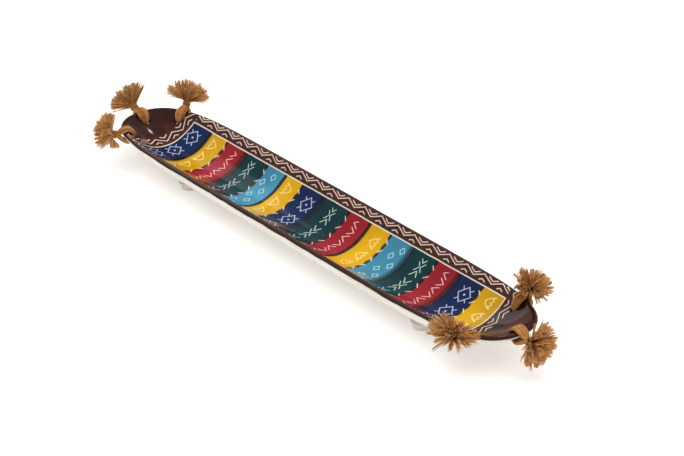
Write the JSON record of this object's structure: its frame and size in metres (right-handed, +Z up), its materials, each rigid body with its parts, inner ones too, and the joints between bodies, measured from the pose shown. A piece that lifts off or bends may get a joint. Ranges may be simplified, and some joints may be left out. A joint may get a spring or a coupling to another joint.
{
  "type": "serving tray",
  "caption": "Long narrow boat-shaped glazed ceramic serving tray on low feet, with striped folk decoration inside and knotted yarn tassels looped through holes at its ends.",
  "frame": {"origin": "centre of the tray, on the surface that its feet stand on", "axes": "+X along the tray's length, +Y across its width, +Z up out of the hollow"},
  "size_m": [0.5017, 0.1101, 0.0551],
  "materials": {
    "glazed_body": "gloss glaze, off-white outside, dark brown rim and ends, painted stripes inside",
    "yarn": "golden brown soft twisted yarn"
  },
  "bodies": {
    "dish": {"dish": "glazed_body"},
    "left_back_loop": {"left_back_loop": "yarn"},
    "left_back_tassel": {"left_back_tie": "yarn", "left_back_fringe": "yarn"},
    "left_tip_loop": {"left_tip_loop": "yarn"},
    "left_tip_tassel": {"left_tip_tie": "yarn", "left_tip_fringe": "yarn"},
    "left_front_loop": {"left_front_loop": "yarn"},
    "left_front_tassel": {"left_front_tie": "yarn", "left_front_fringe": "yarn"},
    "right_back_loop": {"right_back_loop": "yarn"},
    "right_back_tassel": {"right_back_tie": "yarn", "right_back_fringe": "yarn"},
    "right_tip_loop": {"right_tip_loop": "yarn"},
    "right_tip_tassel": {"right_tip_tie": "yarn", "right_tip_fringe": "yarn"},
    "right_front_loop": {"right_front_loop": "yarn"},
    "right_front_tassel": {"right_front_tie": "yarn", "right_front_fringe": "yarn"}
  },
  "joints": [
    {"name": "left_back_swing", "type": "hinge", "parent": "dish", "child": "left_back_loop", "pos_m": [-0.20166, 0.02709, 0.0263], "axis": [0.9276, 0.3737, 0], "range_deg": [-82, 38]},
    {"name": "left_back_sway", "type": "hinge", "parent": "left_back_loop", "child": "left_back_tassel", "pos_m": [-0.2037, 0.03217, 0.03331], "axis": [0.2944, -0.7309, 0.6157], "range_deg": [-20, 20]},
    {"name": "left_tip_swing", "type": "hinge", "parent": "dish", "child": "left_tip_loop", "pos_m": [-0.2214, 0, 0.0266], "axis": [0, 1, 0], "range_deg": [-57, 63]},
    {"name": "left_tip_sway", "type": "hinge", "parent": "left_tip_loop", "child": "left_tip_tassel", "pos_m": [-0.22933, 0, 0.03064], "axis": [0.454, 0, 0.891], "range_deg": [-20, 20]},
    {"name": "left_front_swing", "type": "hinge", "parent": "dish", "child": "left_front_loop", "pos_m": [-0.20166, -0.02709, 0.0263], "axis": [-0.9276, 0.3737, 0], "range_deg": [-39, 81]},
    {"name": "left_front_sway", "type": "hinge", "parent": "left_front_loop", "child": "left_front_tassel", "pos_m": [-0.20494, -0.03524, 0.02769], "axis": [0.0585, 0.1451, 0.9877], "range_deg": [-20, 20]},
    {"name": "right_back_swing", "type": "hinge", "parent": "dish", "child": "right_back_loop", "pos_m": [0.19213, 0.03011, 0.0263], "axis": [0.9706, -0.2406, 0], "range_deg": [-92, 28]},
    {"name": "right_back_sway", "type": "hinge", "parent": "right_back_loop", "child": "right_back_tassel", "pos_m": [0.19314, 0.03417, 0.03416], "axis": [-0.2124, -0.857, 0.4695], "range_deg": [-20, 20]},
    {"name": "right_tip_swing", "type": "hinge", "parent": "dish", "child": "right_tip_loop", "pos_m": [0.2214, 0, 0.0266], "axis": [0, -1, 0], "range_deg": [-26, 94]},
    {"name": "right_tip_sway", "type": "hinge", "parent": "right_tip_loop", "child": "right_tip_tassel", "pos_m": [0.23028, 0, 0.02598], "axis": [0.0698, 0, 0.9976], "range_deg": [-20, 20]},
    {"name": "right_front_swing", "type": "hinge", "parent": "dish", "child": "right_front_loop", "pos_m": [0.19692, -0.02877, 0.0263], "axis": [-0.9542, -0.2993, 0], "range_deg": [-58, 62]},
    {"name": "right_front_sway", "type": "hinge", "parent": "right_front_loop", "child": "right_front_tassel", "pos_m": [0.19928, -0.03627, 0.03048], "axis": [-0.1405, 0.4479, 0.8829], "range_deg": [-20, 20]}
  ]
}
